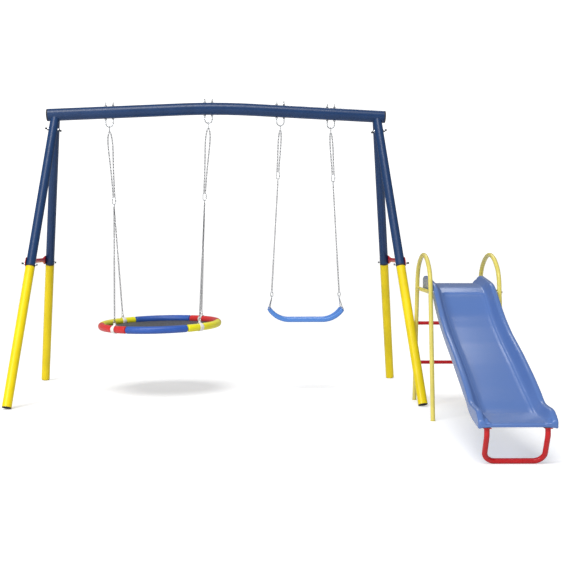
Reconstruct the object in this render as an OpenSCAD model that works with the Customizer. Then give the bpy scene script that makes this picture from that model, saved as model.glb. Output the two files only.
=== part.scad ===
// Garden swing set: an A-frame with a saucer swing and a seat swing, and a separate wave slide beside it.
// The origin lies on the ground under the middle of the whole footprint. +X runs along the top beam
// towards the slide, +Y to the back, +Z up. A person slides down towards -Y.

/* [Layout] */
// Offset of the swing frame's middle along X
frame_x = -180; // [-200:10:-160]
// Offset of the swing frame's middle along Y
frame_y = 915; // [900:5:930]
// Middle of the slide's rear feet along X, from the middle of the swing frame
slide_x = 1437; // [1430:1:1470]
// Middle of the slide's rear feet along Y, from the middle of the swing frame
slide_y = -431; // [-440:1:-420]
// Small turn of the free-standing slide, in degrees
slide_turn = 2.3; // [1:0.1:3]

/* [Top beam] */
// Length of the arched beam along X
beam_len = 2200; // [2180:10:2220]
// Outside diameter of the beam tube
beam_d = 80; // [78:1:82]
// Wall of the beam tube
beam_wall = 2; // [1.5:0.25:3]
// Height of the beam's centre line at its ends
beam_h = 1822; // [1800:1:1850]
// Slope of each half of the beam, in degrees
beam_slope = 2.75; // [2.5:0.25:3]
// Half of the length that is bent in the middle
beam_bend = 250; // [200:10:300]

/* [Legs] */
// Outside diameter of the leg tubes
leg_d = 58; // [56:1:60]
// Wall of the leg tubes
leg_wall = 1.5; // [1.2:0.1:2]
// Distance along X from the middle to where a pair of legs meets the beam
apex_x = 1052; // [1040:1:1060]
// Foot position along X from the middle
foot_x = 1249; // [1235:1:1260]
// Foot position along Y from the middle
foot_y = 713; // [700:1:725]
// Length of the upper leg, from the beam's axis to the coupling
upper_leg = 1061; // [1040:1:1080]
// Length of the reduced end of the lower leg, inside the upper one
spigot = 90; // [80:5:110]

/* [Swings] */
// Middle of the saucer swing along X
saucer_x = -381; // [-390:1:-370]
// Half of the distance between the saucer's U-bolts
saucer_hang = 323; // [320:1:326]
// Height of the saucer ring's middle
saucer_h = 454; // [440:1:470]
// How many degrees the saucer hangs lower at its left side, as equal chains do on an arched beam
saucer_roll = 1.4; // [0:0.1:3]
// How many degrees it hangs lower at its front
saucer_pitch = 1.5; // [0:0.1:3]
// Outside diameter of the padded saucer
saucer_d = 810; // [800:5:820]
// Diameter of the padding around the ring tube
pad_d = 48; // [46:1:50]
// Middle of the seat swing along X
seat_x = 581; // [570:1:590]
// Half of the distance between the seat's U-bolts
seat_hang = 167; // [160:1:175]
// Length of the seat along X
seat_len = 484; // [470:2:500]
// Depth of the seat along Y
seat_w = 150; // [140:5:160]
// Height of the top of the seat in its middle
seat_h = 488; // [480:2:500]

/* [Slide] */
// Distance between the middles of the two hoops
hoop_gap = 390; // [384:2:400]
// Height of the top of the hoops' centre line
hoop_h = 920; // [910:5:930]
// Outside diameter of the hoop tubes
hoop_d = 25; // [22:1:25]
// Outside width of the chute
chute_w = 356; // [350:2:358]
// Width of the flat bed of the chute
bed_w = 250; // [240:5:260]

/* [Hidden] */
$fn = 64;

navy = "#24467a";
leg_yellow = "#f5e22a";
hoop_yellow = "#f3e678";
red = "#c8202a";
chute_blue = "#2c4f9e";
zinc = "#b8bcc0";
black = "#202224";

// Clearance between parts that are only slipped together
slip = 0.2;
// How much thicker a bend is than the straight tube that runs into it
hair = 0.1;
// Clearance between a hanging eye and the rod that it swings on
run_gap = 0.6;

// ---- Geometry of the beam and the legs ----
bend_r = beam_bend / sin(beam_slope);
beam_mid_h = beam_h + (beam_len / 2 - beam_bend) * tan(beam_slope) + bend_r * (1 - cos(beam_slope));
// Height of the beam's centre line at distance x from its middle
function beam_z(x) = abs(x) < beam_bend
    ? beam_mid_h - bend_r + sqrt(bend_r * bend_r - x * x)
    : beam_h + (beam_len / 2 - abs(x)) * tan(beam_slope);
apex_h = beam_z(apex_x);
beam_run = (beam_len / 2 - beam_bend) / cos(beam_slope) - hair;
leg_run = [foot_x - apex_x, foot_y, apex_h];
leg_len = norm(leg_run);
lean = asin(foot_y / leg_len);
splay = atan2(foot_x - apex_x, apex_h);
leg_in_d = leg_d - 2 * leg_wall;
spigot_d = leg_in_d - 2 * slip;
top_spigot = 150;
apex_bolt_at = 105;
coupling_bolt_at = upper_leg - 18;
brace_at = upper_leg - 30;
collar_h = 10;
// The cross braces: tube, flattened ends and where they lie outside the plane of the leg tubes' middles
brace_d = 28;
tab_t = 3;
tab_w = 58;
tab_flat = 32;
tab_x = leg_d / 2 + slip;
neck = 95;
bolt_d = 8;
bolt_hole_d = 8.4;
nut_af = 13;
nut_h = 6.5;
washer_t = 1.6;
bolt_reach = 20;
foot_flange = 3;
foot_trim = 1.2;
leg_tilt = acos(apex_h / leg_len);
foot_end = leg_len + (foot_trim - leg_d / 2 * sin(leg_tilt)) / cos(leg_tilt);
tube_end = foot_end - foot_flange;

// ---- Geometry of the hanging parts ----
rod_d = 8;
u_half = 24;
u_drop = 59;
u_above = 25;
wire_d = 5;
link_eye = rod_d / 2 + run_gap;
link_len = 30;
hook_w = 13;
hook_len = 28;
ring_r = 11;
strand_d = 7;
strand_half = 4;
// Height of a U-bolt's rod at the bottom of its loop
function pivot_z(x) = beam_z(x) - beam_d / 2 - u_drop + rod_d / 2;
// Height of the lowest rod of a top link
function link_foot(x) = pivot_z(x) - link_len - wire_d / 2;
// Top rod, bottom rod and lower ring of the hook at p
function hook_top(p) = p + [0, 0, hook_w - wire_d / 2];
function hook_foot(p) = p - [0, 0, hook_len + hook_w - wire_d / 2];
function ring_foot(rod_at) = rod_at + [0, 0, wire_d + run_gap - 2 * ring_r];
// Drop from a U-bolt's rod to the upper bow of its hook, and how far out the hooks hang
saucer_chain = 468;
saucer_hook_half = 296;
seat_chain = 313;
seat_hook_half = 183;
// The rods that the seat's triangles swing on
seat_joint_half = 224;
seat_joint_h = 634;
joint_bow = 8;
joint_drop = 12;
joint_eye = 8;
seat_t = 8;
seat_flat = 110;
seat_bend = 150;
seat_curl = 58;
tunnel_d = 14;
tunnel_out = seat_flat + (seat_bend + seat_t / 2) * sin(seat_curl);
tunnel_h = seat_h + seat_bend - (seat_bend + seat_t / 2) * cos(seat_curl);
saucer_r = saucer_d / 2 - pad_d / 2;
ring_tube_d = 24;
strap_angle = 45;
strap_w = 30;
strap_gap = 0.5;
strap_t = 1.8;
tab_h = 20;
tab_hole_h = 36;
strap_ring_r = 9;
strap_ring_up = tab_hole_h + 2 * strap_ring_r;
pad_gap_deg = 0.15;
mat_t = 4;

// ---- Geometry of the slide ----
hoop_foot = 418;
hoop_lean = 9.57;
hoop_top_r = 400;
hoop_side_r = 151;
hoop_split = 35;
rung_d = 22;
rungs_h = [492, 243];
side_bar_h = 712;
cap_t = 4;
// Distance of a hoop leg from the middle of the hoop at height z
function leg_out(z) = hoop_foot - z * tan(hoop_lean);
front_bolt_y = -hoop_foot - leg_out(side_bar_h);
rear_bolt_y = -300;
insert_x = 152;
insert_len = 24;
lip_y = -2140;
// Side profile of the chute: [y, bed, rim, lower edge] at each change of slope
profile = [
    [-2140, 197, 203, 172], [-2100, 200, 240, 177], [-2050, 203, 252, 180], [-1960, 208, 252, 189],
    [-1890, 222, 256, 205], [-1800, 256, 300, 246], [-1657, 303, 358, 293], [-1416, 388, 442, 378],
    [-1150, 474, 522, 464], [-980, 538, 590, 526], [-830, 602, 668, 590], [-720, 668, 728, 655],
    [-660, 702, 756, 690], [-560, 734, 770, 702], [-440, 744, 782, 699], [-300, 747, 796, 699],
    [-240, 747, 780, 702]
];
rear_y = -240;
smooth_reach = 30;
smooth_step = 10;
chute_steps = 57;
chute_t = 9;
foot_bar_y = -2042;
foot_bar_half = 136;
foot_bar_bend = 50;
foot_bar_lean = 30;
foot_bar_arm = 135;
stub_bend = 40;
foot_bar_top = 173;
plate_t = 3;

// ---- Shared shapes ----
// A straight round rod between two points
module rod(p, q, r) {
    v = q - p;
    translate(p) rotate([0, acos(v.z / norm(v)), atan2(v.y, v.x)]) cylinder(h = norm(v), r = r);
}

// A round rod bent about the Z axis, from angle a0 to a1
module bent_rod(bend, a0, a1, r) {
    rotate([0, 0, a0]) rotate_extrude(angle = a1 - a0, $fn = 96) translate([bend, 0]) circle(r = r, $fn = 32);
}

// A round ring lying flat
module ring(bend, r) {
    rotate_extrude($fn = 96) translate([bend, 0]) circle(r = r, $fn = 32);
}

// An oval link in the XZ plane: upper bow centre at the origin, lower bow centre drop below it
module oval_link(bow, drop, r) {
    rotate([90, 0, 0]) bent_rod(bow, 0, 180, r);
    translate([0, 0, -drop]) rotate([90, 0, 0]) bent_rod(bow, 180, 360, r);
    for (s = [-1, 1]) rod([s * bow, 0, -drop], [s * bow, 0, 0], r);
}

module washer(hole, d, t) {
    difference() {
        cylinder(h = t, d = d);
        translate([0, 0, -1]) cylinder(h = t + 2, d = hole);
    }
}

module hex_nut() {
    difference() {
        cylinder(h = nut_h, d = nut_af / cos(30), $fn = 6);
        translate([0, 0, -1]) cylinder(h = nut_h + 2, d = bolt_d + 0.1);
    }
}

module at_frame() {
    translate([frame_x, frame_y, 0]) children();
}

module at_slide() {
    translate([frame_x + slide_x, frame_y + slide_y, 0]) rotate([0, 0, -slide_turn]) children();
}

// Puts a child, drawn hanging down from the origin, on the leg at side sx and front or back sy
module on_leg(sx, sy) {
    at_frame() translate([sx * apex_x, 0, apex_h]) rotate([sy * lean, -sx * splay, 0]) children();
}

module on_each_leg() {
    for (sx = [-1, 1], sy = [-1, 1]) on_leg(sx, sy) mirror([sx < 0 ? 1 : 0, 0, 0]) children();
}

module leg_bore(at, d) {
    translate([0, 0, -at]) rotate([0, 90, 0]) cylinder(h = 2 * leg_d, d = d, center = true);
}

// ---- Top beam ----
// Puts a child, drawn along +Z, on the straight length of the beam at side s
module on_beam(s) {
    at_frame() translate([s * beam_bend, 0, beam_z(beam_bend)]) rotate([0, s * (90 + beam_slope), 0]) children();
}

// Solid rod along the straight length at side s, from a little inside the bend outwards
module beam_rod(s, r, more) {
    on_beam(s) translate([0, 0, hair]) cylinder(h = beam_run + more, r = r);
}

module u_bolt_holes() {
    at_frame() for (x = u_bolt_xs(), s = [-1, 1]) translate([x + s * u_half, 0, beam_h - 100])
        cylinder(h = 300, d = rod_d + 1);
}

module top_beam() {
    color(navy) {
        for (s = [-1, 1]) difference() {
            union() {
                beam_rod(s, beam_d / 2, 0);
                for (sy = [-1, 1]) on_leg(s, sy) translate([0, 0, -top_spigot])
                    cylinder(h = top_spigot, d = spigot_d);
            }
            beam_rod(s, beam_d / 2 - beam_wall, 10);
            on_beam(s) translate([0, 0, -50]) cylinder(h = 60, r = beam_d / 2 - beam_wall);
            for (sy = [-1, 1]) on_leg(s, sy) {
                translate([0, 0, -top_spigot - 1]) cylinder(h = top_spigot - 40, d = spigot_d - 6);
                leg_bore(apex_bolt_at, bolt_hole_d);
            }
            u_bolt_holes();
        }
        difference() {
            at_frame() translate([0, 0, beam_mid_h - bend_r]) rotate([90, 0, 0]) rotate([0, 0, 90 - beam_slope])
                rotate_extrude(angle = 2 * beam_slope, $fn = 720) translate([bend_r, 0]) difference() {
                    circle(d = beam_d);
                    circle(r = beam_d / 2 - beam_wall);
                }
            u_bolt_holes();
        }
    }
}

function u_bolt_xs() = [
    saucer_x - saucer_hang, saucer_x + saucer_hang, seat_x - seat_hang, seat_x + seat_hang
];

module beam_end_caps() {
    color(black) at_frame() for (s = [-1, 1])
        translate([s * beam_len / 2, 0, beam_h]) rotate([0, s * (90 + beam_slope), 0]) {
            translate([0, 0, -25]) cylinder(h = 26, d = beam_d - 2 * beam_wall - 2 * slip);
            rotate_extrude() difference() {
                union() {
                    square([beam_d / 2 - 6, 10]);
                    square([beam_d / 2, 4]);
                    translate([beam_d / 2 - 6, 4]) circle(r = 6);
                }
                translate([0, -10]) square([beam_d, 10 + slip]);
            }
        }
}

// ---- Legs ----
module upper_leg_at(sx, sy) {
    color(navy) difference() {
        intersection() {
            on_leg(sx, sy) translate([0, 0, collar_h - upper_leg]) cylinder(h = upper_leg - collar_h, d = leg_d);
            at_frame() translate([sx * apex_x - 500, sy > 0 ? slip : -1200 - slip, 0]) cube([1000, 1200, 2200]);
        }
        on_leg(sx, sy) translate([0, 0, -upper_leg - 1]) cylinder(h = upper_leg + 2, d = leg_in_d);
        beam_rod(sx, beam_d / 2 + slip, 10);
        on_leg(sx, sy) {
            leg_bore(apex_bolt_at, bolt_hole_d);
            leg_bore(coupling_bolt_at, bolt_hole_d);
        }
    }
}

// Black rings between the upper and the lower legs
module leg_collars() {
    color(black) on_each_leg() translate([0, 0, -upper_leg])
        washer(spigot_d + 2 * slip, leg_d, collar_h - slip);
}

module lower_leg_at(sx, sy) {
    color(leg_yellow) intersection() {
        on_leg(sx, sy) difference() {
            union() {
                translate([0, 0, -tube_end]) cylinder(h = tube_end - upper_leg - slip, d = leg_d);
                translate([0, 0, -upper_leg - 1]) cylinder(h = spigot + 1, d = spigot_d);
            }
            translate([0, 0, -tube_end - 1]) cylinder(h = tube_end - upper_leg - 4, d = leg_in_d);
            translate([0, 0, -upper_leg - 10]) cylinder(h = spigot + 20, d = spigot_d - 2 * leg_wall);
            leg_bore(coupling_bolt_at, bolt_hole_d);
        }
        above_ground();
    }
}

// A plug in the cut end of each leg, with a flange that stands on the ground
module leg_foot_caps() {
    color(black) intersection() {
        on_each_leg() {
            translate([0, 0, -foot_end + 1]) cylinder(h = 24, d = leg_in_d - 2 * slip);
            translate([0, 0, -foot_end]) cylinder(h = foot_flange - slip, d = leg_d);
        }
        above_ground();
    }
}

// All space above the ground
module above_ground() {
    translate([-3000, -3000, 0]) cube([6000, 6000, 2500]);
}

// Puts a child in the plane of the A-frame at side s, +X outwards and -Z down the plane
module in_a_frame(s) {
    at_frame() translate([s * apex_x, 0, apex_h]) rotate([0, -s * splay, 0])
        mirror([s < 0 ? 1 : 0, 0, 0]) children();
}

// Tube with both ends pressed flat, bolted to the outer sides of two legs
module cross_brace_at(s) {
    half = brace_at * sin(lean);
    color(red) in_a_frame(s) translate([tab_x + tab_t / 2, 0, -brace_at * cos(lean)]) difference() {
        union() {
            rotate([90, 0, 0]) cylinder(h = 2 * (half - neck), d = brace_d, center = true);
            for (e = [0, 1]) mirror([0, e, 0]) {
                hull() {
                    translate([0, half - neck - 6, 0]) rotate([-90, 0, 0]) cylinder(h = 6, d = brace_d - 0.4);
                    translate([-tab_t / 2, half - tab_flat - 1, -tab_w / 2]) cube([tab_t, 2, tab_w]);
                }
                translate([-tab_t / 2, half - tab_flat, -tab_w / 2]) cube([tab_t, tab_flat, tab_w]);
                translate([-tab_t / 2, half, 0]) rotate([0, 90, 0]) cylinder(h = tab_t, d = tab_w);
            }
        }
        rotate([90, 0, 0]) cylinder(h = 2 * (half - neck - 12), d = brace_d - 3, center = true);
        translate([0, 0, -brace_d]) cylinder(h = brace_d, d = 6);
        for (e = [-1, 1]) translate([0, e * coupling_bolt_at * sin(lean), (brace_at - coupling_bolt_at) * cos(lean)])
            rotate([0, 90, 0]) cylinder(h = 40, d = bolt_hole_d, center = true);
    }
}

// ---- Fasteners of the A-frames ----
// Puts a child on each bolt's axis, +Z outwards. $out is the thickness of a brace's tab under the nut.
module at_leg_bolts() {
    on_each_leg() for (at = [apex_bolt_at, coupling_bolt_at]) {
        $out = at == coupling_bolt_at ? tab_x + tab_t + slip - leg_d / 2 : 0;
        translate([0, 0, -at]) rotate([0, 90, 0]) children();
    }
}

module leg_bolts() {
    head_at = leg_d / 2 + washer_t;
    color(zinc) at_leg_bolts() {
        translate([0, 0, -head_at]) cylinder(h = head_at + leg_d / 2 + bolt_reach + $out, d = bolt_d);
        translate([0, 0, -head_at - 5.3]) cylinder(h = 5.3, d = nut_af / cos(30), $fn = 6);
    }
}

module leg_nuts() {
    color(zinc) at_leg_bolts() translate([0, 0, leg_d / 2 + washer_t + 0.1 + $out]) hex_nut();
}

module leg_washers() {
    color(zinc) at_leg_bolts() {
        translate([0, 0, leg_d / 2 + $out]) washer(bolt_hole_d, 18, washer_t);
        translate([0, 0, -leg_d / 2 - washer_t]) washer(bolt_hole_d, 18, washer_t);
    }
}

// Soft caps over the ends of the bolts
module bolt_end_caps() {
    cap_from = leg_d / 2 + washer_t + nut_h + 1;
    color(black) at_leg_bolts() {
        translate([0, 0, $out]) difference() {
            translate([0, 0, cap_from]) cylinder(h = leg_d / 2 + bolt_reach + 3 - cap_from, d = 11.5);
            translate([0, 0, cap_from - 1]) cylinder(h = leg_d / 2 + bolt_reach + 1 - cap_from + 0.2, d = bolt_d + 0.1);
        }
        translate([0, 0, -leg_d / 2 - washer_t - 5.4 - 6]) cylinder(h = 6, d = 12);
    }
}

// ---- U-bolts ----
module u_bolt(x) {
    top = beam_z(x) + beam_d / 2 + u_above;
    bow_z = pivot_z(x) + u_half;
    translate([x, 0, 0]) {
        translate([0, 0, bow_z]) rotate([90, 0, 0]) bent_rod(u_half, 180, 360, rod_d / 2);
        for (s = [-1, 1]) rod([s * u_half, 0, bow_z], [s * u_half, 0, top], rod_d / 2);
    }
}

module saucer_u_bolts() {
    color(zinc) at_frame() for (s = [-1, 1]) u_bolt(saucer_x + s * saucer_hang);
}

module seat_u_bolts() {
    color(zinc) at_frame() for (s = [-1, 1]) u_bolt(seat_x + s * seat_hang);
}

module u_bolt_nuts() {
    lift = 0.8;
    color(zinc) at_frame() for (x = u_bolt_xs(), s = [-1, 1]) translate([x + s * u_half, 0, 0]) {
        z = beam_z(x + s * u_half);
        translate([0, 0, z + beam_d / 2 + lift]) hex_nut();
        translate([0, 0, z - beam_d / 2 - lift - nut_h]) hex_nut();
    }
}

// ---- Hanging hardware that both swings share ----
// Oval link that swings on a U-bolt's rod
module top_link(x) {
    translate([x, 0, pivot_z(x)]) rotate([0, 0, 90]) oval_link(link_eye + wire_d / 2, link_len - link_eye, wire_d / 2);
}

// Two strands side by side from the lower rod of a top link to the upper rod of a hook
module chain_pair(top, bottom) {
    for (e = [-1, 1]) rod(top + [e * strand_half, 0, 0], bottom + [e * strand_half, 0, 0], strand_d / 2);
}

// Oval snap hook in the XZ plane, its upper bow centre at p, with a round sleeve on its gate
module snap_hook(p) {
    translate(p) {
        oval_link(hook_w - wire_d / 2, hook_len, wire_d / 2);
        translate([hook_w - wire_d / 2, 0, -hook_len / 2 - 6]) cylinder(h = 14, d = 8);
    }
}

// Round ring in the YZ plane that hangs on the rod at p
module hanging_ring(p) {
    translate([p.x, p.y, p.z - ring_r + wire_d / 2 + run_gap + wire_d / 2]) rotate([0, 90, 0]) ring(ring_r, wire_d / 2);
}

// ---- Saucer swing ----
module saucer_sides() {
    for (s = [-1, 1]) {
        $s = s;
        $hang_x = saucer_x + s * saucer_hang;
        $hook = [saucer_x + s * saucer_hook_half, 0, pivot_z($hang_x) - saucer_chain];
        at_frame() children();
    }
}

module saucer_top_links() {
    color(zinc) saucer_sides() top_link($hang_x);
}

module saucer_upper_chains() {
    color(zinc) saucer_sides() chain_pair([$hang_x, 0, link_foot($hang_x)], hook_top($hook));
}

module saucer_snap_hooks() {
    color(zinc) saucer_sides() snap_hook($hook);
}

module saucer_rings() {
    color(zinc) saucer_sides() hanging_ring(hook_foot($hook));
}

module saucer_lower_chains() {
    reach = saucer_r * cos(strap_angle);
    color(zinc) saucer_sides() for (e = [-1, 1])
        rod(ring_foot(hook_foot($hook)) + [0, 2 * e, 0], on_saucer([$s * reach, e * reach, strap_ring_up]), strand_d / 2);
}

// Place of a point that is given from the saucer's middle, square to its ring
function on_saucer(p) = let (
    y = p.y * cos(saucer_pitch) - p.z * sin(saucer_pitch),
    z = p.y * sin(saucer_pitch) + p.z * cos(saucer_pitch)
) [saucer_x + p.x * cos(saucer_roll) - z * sin(saucer_roll), y, saucer_h + p.x * sin(saucer_roll) + z * cos(saucer_roll)];

// Puts a child at the saucer's middle, square to its ring
module at_saucer() {
    at_frame() translate([saucer_x, 0, saucer_h]) rotate([saucer_pitch, -saucer_roll, 0]) children();
}

// Puts a child at each strap, with +X outwards from the middle of the saucer
module at_straps() {
    at_saucer() for (a = [strap_angle:90:315 + strap_angle])
        rotate([0, 0, a]) translate([saucer_r, 0, 0]) children();
}

module strap_rings() {
    color(zinc) at_straps() translate([0, 0, tab_hole_h + strap_ring_r]) rotate([90, 0, 0]) ring(strap_ring_r, 2);
}

module saucer_straps() {
    band = pad_d / 2 + strap_gap;
    color("white") at_straps() difference() {
        union() {
            rotate([90, 0, 0]) cylinder(h = strap_w, r = band + strap_t, center = true);
            translate([-strap_t, -strap_w / 2, band]) cube([2 * strap_t, strap_w, tab_h]);
        }
        rotate([90, 0, 0]) cylinder(h = strap_w + 2, r = band, center = true);
        translate([0, 0, tab_hole_h]) rotate([0, 90, 0]) cylinder(h = 20, d = 9, center = true);
    }
}

module saucer_ring_tube() {
    color(zinc) at_saucer() rotate_extrude($fn = 180)
        translate([saucer_r, 0]) difference() {
            circle(d = ring_tube_d);
            circle(d = ring_tube_d - 3);
        }
}

// One padded sleeve over a sixth of the ring, its middle at the given angle from +X
module pad_at(middle, shade) {
    color(shade) at_saucer() rotate([0, 0, middle - 30 + pad_gap_deg])
        rotate_extrude(angle = 60 - 2 * pad_gap_deg, $fn = 180) translate([saucer_r, 0]) difference() {
            circle(d = pad_d);
            circle(d = ring_tube_d + 2 * slip);
        }
}

module saucer_mat() {
    color("#26314a") at_saucer() translate([0, 0, -mat_t / 2])
        cylinder(h = mat_t, r = saucer_r - pad_d / 2 - strap_gap - strap_t - 0.3, $fn = 180);
}

// ---- Seat swing ----
module seat_sides() {
    for (s = [-1, 1]) {
        $s = s;
        $hang_x = seat_x + s * seat_hang;
        $hook = [seat_x + s * seat_hook_half, 0, pivot_z($hang_x) - seat_chain];
        $joint = [seat_x + s * seat_joint_half, 0, seat_joint_h];
        at_frame() children();
    }
}

module seat_top_links() {
    color(zinc) seat_sides() top_link($hang_x);
}

module seat_upper_chains() {
    color(zinc) seat_sides() chain_pair([$hang_x, 0, link_foot($hang_x)], hook_top($hook));
}

module seat_snap_hooks() {
    color(zinc) seat_sides() snap_hook($hook);
}

module seat_rings() {
    color(zinc) seat_sides() hanging_ring(hook_foot($hook));
}

module seat_long_chains() {
    color(zinc) seat_sides() rod(ring_foot(hook_foot($hook)), $joint + [0, 0, 2 * joint_bow + joint_drop], strand_d / 2);
}

// Oval links whose lower bow carries the seat's triangles
module seat_lower_links() {
    color(zinc) seat_sides() translate($joint + [0, 0, joint_bow + joint_drop]) oval_link(joint_bow, joint_drop, wire_d / 2);
}

module seat_triangles() {
    half = seat_w / 2 + 12;
    color(zinc) seat_sides() {
        low = [seat_x + $s * tunnel_out, 0, tunnel_h];
        eye = wire_d + run_gap;
        translate($joint + [0, 0, wire_d + run_gap - joint_eye]) rotate([0, 90, 0]) ring(joint_eye, wire_d / 2);
        for (e = [-1, 1]) {
            rod($joint + [0, e * joint_eye * 0.7, eye - 1.7 * joint_eye], low + [0, e * half, 0], wire_d / 2);
            translate(low + [0, e * half, 0]) sphere(r = wire_d / 2 + 0.5, $fn = 24);
        }
        rod(low + [0, -half, 0], low + [0, half, 0], wire_d / 2);
    }
}

// Cross-section of the seat: a thin plate between two deep rounded rims, x down from the top face
module seat_section() {
    translate([0, -seat_w / 2 + 8]) square([seat_t, seat_w - 16]);
    for (s = [-1, 1]) translate([0, s * (seat_w / 2 - 8)]) {
        translate([0, -8]) square([12, 16]);
        circle(r = 8);
        translate([12, 0]) circle(r = 8);
    }
}

module swing_seat() {
    color("#2f62c8") at_frame() translate([seat_x, 0, seat_h]) difference() {
        union() {
            translate([-seat_flat, 0, 0]) rotate([0, 90, 0]) linear_extrude(height = 2 * seat_flat) seat_section();
            for (s = [0, 1]) mirror([s, 0, 0]) {
                translate([seat_flat, 0, seat_bend]) rotate([90, 0, 0]) rotate([0, 0, -90])
                    rotate_extrude(angle = seat_curl, $fn = 96) translate([seat_bend, 0]) seat_section();
                translate([tunnel_out, seat_w / 2, tunnel_h - seat_h]) rotate([90, 0, 0]) cylinder(h = seat_w, d = tunnel_d);
            }
        }
        for (s = [-1, 1]) translate([s * tunnel_out, 0, tunnel_h - seat_h]) rotate([90, 0, 0])
            cylinder(h = seat_w + 40, d = wire_d + 1, center = true);
    }
}

// ---- Slide frame ----
// Solid hoop in the YZ plane, its front leg towards -Y. Each bend overlaps the next piece and is a hair thicker.
module hoop_rod(r) {
    corner = [0, hoop_h - hoop_top_r] + (hoop_top_r - hoop_side_r) * [sin(hoop_split), cos(hoop_split)];
    shoulder = corner + (hoop_side_r) * [cos(hoop_lean), sin(hoop_lean)] + 3 * [-sin(hoop_lean), cos(hoop_lean)];
    translate([0, -hoop_foot, 0]) rotate([90, 0, 90]) {
        translate([0, hoop_h - hoop_top_r, 0]) bent_rod(hoop_top_r, 90 - hoop_split, 90 + hoop_split, r + 2 * hair);
        for (s = [0, 1]) mirror([s, 0, 0]) {
            translate([corner.x, corner.y, 0]) bent_rod(hoop_side_r, hoop_lean, 91 - hoop_split, r + hair);
            rod([shoulder.x, shoulder.y, 0], [hoop_foot + 3, -3 / tan(hoop_lean), 0], r);
        }
    }
}

module slide_hoop_at(s) {
    color(hoop_yellow) at_slide() translate([s * hoop_gap / 2, 0, 0]) difference() {
        intersection() {
            hoop_rod(hoop_d / 2);
            translate([-100, -1000, cap_t]) cube([200, 1200, 1000]);
        }
        hoop_rod(hoop_d / 2 - 1.5);
        for (z = rungs_h) translate([0, -hoop_foot + leg_out(z), z]) rotate([0, 90, 0])
            cylinder(h = 100, d = 5.4, center = true);
        translate([0, front_bolt_y, side_bar_h]) rotate([0, 90, 0]) cylinder(h = 100, d = 6.4, center = true);
    }
}

module slide_foot_caps() {
    color(hoop_yellow) at_slide() for (sx = [-1, 1], sy = [0, 1])
        translate([sx * hoop_gap / 2, sy ? 0 : -2 * hoop_foot, 0]) intersection() {
            union() {
                cylinder(h = cap_t - 0.2, d = hoop_d + 3);
                rotate([sy ? hoop_lean : -hoop_lean, 0, 0]) cylinder(h = 25, d = hoop_d - 3 - 2 * slip);
            }
            translate([-50, -50, 0]) cube([100, 100, 100]);
        }
}

module ladder_rung_at(z) {
    span = hoop_gap - hoop_d - 2 * slip;
    color(red) at_slide() translate([0, -hoop_foot + leg_out(z), z]) rotate([0, 90, 0]) difference() {
        cylinder(h = span, d = rung_d, center = true);
        cylinder(h = span + 2, d = 4.4, center = true);
        cylinder(h = span - 60, d = rung_d - 3, center = true);
    }
}

// Horizontal bar between the legs of one hoop, coped to the tubes
module slide_side_bar_at(s) {
    half = leg_out(side_bar_h);
    color(hoop_yellow) at_slide() translate([s * hoop_gap / 2, 0, 0]) difference() {
        rod([0, -hoop_foot - half, side_bar_h], [0, -hoop_foot + half, side_bar_h], hoop_d / 2 - 1);
        for (e = [-1, 1]) translate([0, -hoop_foot + e * half, side_bar_h]) rotate([e * hoop_lean, 0, 0])
            cylinder(h = 60, d = hoop_d + slip, center = true);
        translate([0, rear_bolt_y, side_bar_h]) rotate([0, 90, 0]) cylinder(h = 100, d = 6.4, center = true);
    }
}

module rung_screws() {
    color(zinc) at_slide() for (s = [0, 1], z = rungs_h) mirror([s, 0, 0])
        translate([hoop_gap / 2 - 40, -hoop_foot + leg_out(z), z]) rotate([0, 90, 0]) {
            cylinder(h = 40 + hoop_d / 2, d = 4.2);
            translate([0, 0, 40 + hoop_d / 2]) cylinder(h = 1.5, d1 = 10, d2 = 8);
        }
}

// ---- Chute ----
// Value of one column of the side profile at y
function column(y, k) = lookup(y, [for (p = profile) [p[0], p[k]]]);

// The same value, averaged over a short reach so that the corners are rounded
function smooth(y, k) = let (steps = [-smooth_reach:smooth_step:smooth_reach])
    avg([for (d = steps) column(min(max(y + d, lip_y), rear_y), k)]);

function avg(list, i = 0, sum = 0) = i == len(list) ? sum / len(list) : avg(list, i + 1, sum + list[i]);

// Right half of the chute's cross-section at y, from the middle of the bottom round to the middle of the bed
function half_section(y) = let (
    bed = smooth(y, 1), rim = smooth(y, 2), low = smooth(y, 3), w = chute_w / 2, b = bed_w / 2,
    under = min(low + 6, bed - chute_t)
) [
    [0, under], [w - 40, under], [w - 14, low + 2], [w - 5, low], [w - 1, low + 3], [w, low + 8],
    [w, rim - 9], [w - 2, rim - 3], [w - 8, rim], [w - 18, rim], [w - 24, rim - 2],
    [w - 28, max(rim - 9, bed + 2)], [b + 7, min(bed + 10, rim - 3)], [b, bed + 2.5], [b - 8, bed + 0.4], [0, bed]
];

function whole_section(y) = let (h = half_section(y), n = len(h))
    concat([for (p = h) [p.x, y, p.y]], [for (i = [n - 2:-1:1]) [-h[i].x, y, h[i].y]]);

module swept(rings) {
    m = len(rings[0]);
    n = len(rings);
    polyhedron(
        points = [for (r = rings, p = r) p],
        faces = concat(
            [[for (i = [m - 1:-1:0]) i]],
            [for (k = [0:n - 2], i = [0:m - 1]) let (j = (i + 1) % m) each [
                [k * m + i, (k + 1) * m + j, (k + 1) * m + i],
                [k * m + i, k * m + j, (k + 1) * m + j]
            ]],
            [[for (i = [0:m - 1]) (n - 1) * m + i]]
        )
    );
}

module slide_chute() {
    stations = [for (i = [0:chute_steps]) lip_y + i * (rear_y - lip_y) / chute_steps];
    color(chute_blue) at_slide() swept([for (y = stations) whole_section(y)]);
}

// Puts a child at each bolt of the chute, +Z outwards from the middle of the slide
module at_chute_bolts() {
    at_slide() for (s = [0, 1], y = [front_bolt_y, rear_bolt_y]) mirror([s, 0, 0])
        translate([0, y, side_bar_h]) rotate([0, 90, 0]) children();
}

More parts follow.
